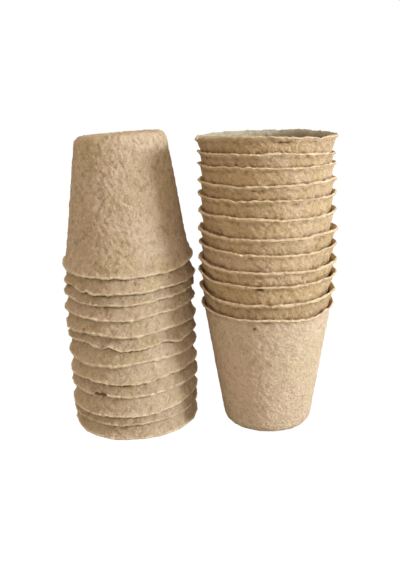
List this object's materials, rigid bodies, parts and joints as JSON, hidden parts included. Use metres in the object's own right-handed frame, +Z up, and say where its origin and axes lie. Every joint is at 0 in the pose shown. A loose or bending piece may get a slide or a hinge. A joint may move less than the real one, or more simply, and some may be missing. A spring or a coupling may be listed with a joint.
{
  "type": "peat pot",
  "caption": "Tapered moulded-fibre seedling pots with flared ragged rims, nested in an upright stack beside an inverted one; each pot lifts off the pot below it.",
  "frame": {"origin": "on the ground, midway between the axes of the two stacks", "axes": "+Z up, along both stacks; +X towards the upright stack; +Y towards the back, where the inverted stack stands"},
  "size_m": [0.1696, 0.1023, 0.185],
  "materials": {
    "moulded_fibre": "rough felted wood and peat fibre, matt, uncoated"
  },
  "bodies": {
    "upright_pot_01": {"upright_pot_01": "moulded_fibre"},
    "upright_pot_02": {"upright_pot_02": "moulded_fibre"},
    "upright_pot_03": {"upright_pot_03": "moulded_fibre"},
    "upright_pot_04": {"upright_pot_04": "moulded_fibre"},
    "upright_pot_05": {"upright_pot_05": "moulded_fibre"},
    "upright_pot_06": {"upright_pot_06": "moulded_fibre"},
    "upright_pot_07": {"upright_pot_07": "moulded_fibre"},
    "upright_pot_08": {"upright_pot_08": "moulded_fibre"},
    "upright_pot_09": {"upright_pot_09": "moulded_fibre"},
    "upright_pot_10": {"upright_pot_10": "moulded_fibre"},
    "upright_pot_11": {"upright_pot_11": "moulded_fibre"},
    "upright_pot_12": {"upright_pot_12": "moulded_fibre"},
    "inverted_pot_01": {"inverted_pot_01": "moulded_fibre"},
    "inverted_pot_02": {"inverted_pot_02": "moulded_fibre"},
    "inverted_pot_03": {"inverted_pot_03": "moulded_fibre"},
    "inverted_pot_04": {"inverted_pot_04": "moulded_fibre"},
    "inverted_pot_05": {"inverted_pot_05": "moulded_fibre"},
    "inverted_pot_06": {"inverted_pot_06": "moulded_fibre"},
    "inverted_pot_07": {"inverted_pot_07": "moulded_fibre"},
    "inverted_pot_08": {"inverted_pot_08": "moulded_fibre"},
    "inverted_pot_09": {"inverted_pot_09": "moulded_fibre"},
    "inverted_pot_10": {"inverted_pot_10": "moulded_fibre"},
    "inverted_pot_11": {"inverted_pot_11": "moulded_fibre"},
    "inverted_pot_12": {"inverted_pot_12": "moulded_fibre"}
  },
  "joints": [
    {"name": "upright_lift_02", "type": "slide", "parent": "upright_pot_01", "child": "upright_pot_02", "axis": [0, 0, 1], "range_m": [0, 0.08]},
    {"name": "upright_lift_03", "type": "slide", "parent": "upright_pot_02", "child": "upright_pot_03", "axis": [0, 0, 1], "range_m": [0, 0.08]},
    {"name": "upright_lift_04", "type": "slide", "parent": "upright_pot_03", "child": "upright_pot_04", "axis": [0, 0, 1], "range_m": [0, 0.08]},
    {"name": "upright_lift_05", "type": "slide", "parent": "upright_pot_04", "child": "upright_pot_05", "axis": [0, 0, 1], "range_m": [0, 0.08]},
    {"name": "upright_lift_06", "type": "slide", "parent": "upright_pot_05", "child": "upright_pot_06", "axis": [0, 0, 1], "range_m": [0, 0.08]},
    {"name": "upright_lift_07", "type": "slide", "parent": "upright_pot_06", "child": "upright_pot_07", "axis": [0, 0, 1], "range_m": [0, 0.08]},
    {"name": "upright_lift_08", "type": "slide", "parent": "upright_pot_07", "child": "upright_pot_08", "axis": [0, 0, 1], "range_m": [0, 0.08]},
    {"name": "upright_lift_09", "type": "slide", "parent": "upright_pot_08", "child": "upright_pot_09", "axis": [0, 0, 1], "range_m": [0, 0.08]},
    {"name": "upright_lift_10", "type": "slide", "parent": "upright_pot_09", "child": "upright_pot_10", "axis": [0, 0, 1], "range_m": [0, 0.08]},
    {"name": "upright_lift_11", "type": "slide", "parent": "upright_pot_10", "child": "upright_pot_11", "axis": [0, 0, 1], "range_m": [0, 0.08]},
    {"name": "upright_lift_12", "type": "slide", "parent": "upright_pot_11", "child": "upright_pot_12", "axis": [0, 0, 1], "range_m": [0, 0.08]},
    {"name": "inverted_lift_02", "type": "slide", "parent": "inverted_pot_01", "child": "inverted_pot_02", "axis": [0, 0, 1], "range_m": [0, 0.08]},
    {"name": "inverted_lift_03", "type": "slide", "parent": "inverted_pot_02", "child": "inverted_pot_03", "axis": [0, 0, 1], "range_m": [0, 0.08]},
    {"name": "inverted_lift_04", "type": "slide", "parent": "inverted_pot_03", "child": "inverted_pot_04", "axis": [0, 0, 1], "range_m": [0, 0.08]},
    {"name": "inverted_lift_05", "type": "slide", "parent": "inverted_pot_04", "child": "inverted_pot_05", "axis": [0, 0, 1], "range_m": [0, 0.08]},
    {"name": "inverted_lift_06", "type": "slide", "parent": "inverted_pot_05", "child": "inverted_pot_06", "axis": [0, 0, 1], "range_m": [0, 0.08]},
    {"name": "inverted_lift_07", "type": "slide", "parent": "inverted_pot_06", "child": "inverted_pot_07", "axis": [0, 0, 1], "range_m": [0, 0.08]},
    {"name": "inverted_lift_08", "type": "slide", "parent": "inverted_pot_07", "child": "inverted_pot_08", "axis": [0, 0, 1], "range_m": [0, 0.08]},
    {"name": "inverted_lift_09", "type": "slide", "parent": "inverted_pot_08", "child": "inverted_pot_09", "axis": [0, 0, 1], "range_m": [0, 0.08]},
    {"name": "inverted_lift_10", "type": "slide", "parent": "inverted_pot_09", "child": "inverted_pot_10", "axis": [0, 0, 1], "range_m": [0, 0.08]},
    {"name": "inverted_lift_11", "type": "slide", "parent": "inverted_pot_10", "child": "inverted_pot_11", "axis": [0, 0, 1], "range_m": [0, 0.08]},
    {"name": "inverted_lift_12", "type": "slide", "parent": "inverted_pot_11", "child": "inverted_pot_12", "axis": [0, 0, 1], "range_m": [0, 0.08]},
    {"name": "inverted_stack_slide", "type": "slide", "parent": "upright_pot_01", "child": "inverted_pot_01", "axis": [-1, 0, 0], "range_m": [0, 0.1]}
  ]
}
